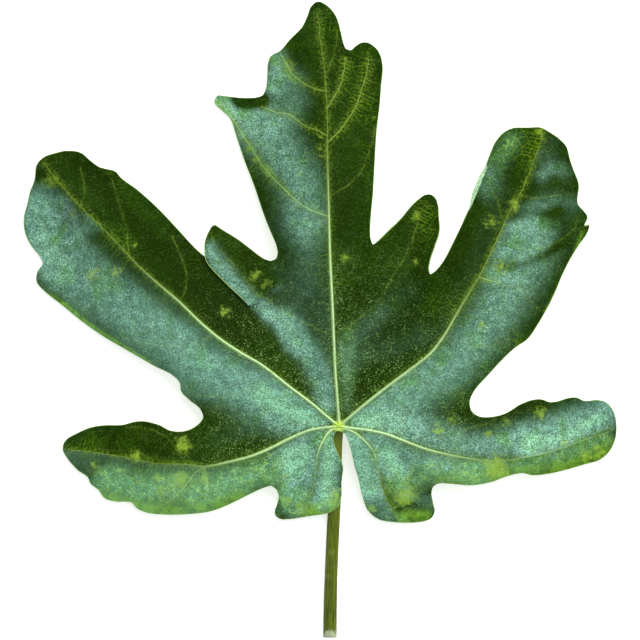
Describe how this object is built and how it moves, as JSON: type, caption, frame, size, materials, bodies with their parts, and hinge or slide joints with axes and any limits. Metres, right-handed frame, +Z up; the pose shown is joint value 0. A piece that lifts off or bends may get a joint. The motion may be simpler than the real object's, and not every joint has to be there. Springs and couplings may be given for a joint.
{
  "type": "fig leaf",
  "caption": "Picked fig leaf lying face up: a deeply lobed, gently arched green blade with a waved margin and raised pale ribs, and its round stalk with a cut end.",
  "frame": {"origin": "middle of the leaf's overall size, on the surface that it lies on", "axes": "+Z up from the surface, towards the side that the upper face looks to; +Y along the leaf, from the cut end of the stalk to the tip of the middle lobe; +X to the right, seen from above with the middle lobe pointing away"},
  "size_m": [0.19, 0.2037, 0.0137],
  "materials": {
    "leaf_green": "fresh green leaf, satin",
    "stalk_olive": "olive green leaf stalk, satin"
  },
  "bodies": {
    "root": {"blade": "leaf_green", "petiole": "stalk_olive"}
  },
  "joints": []
}
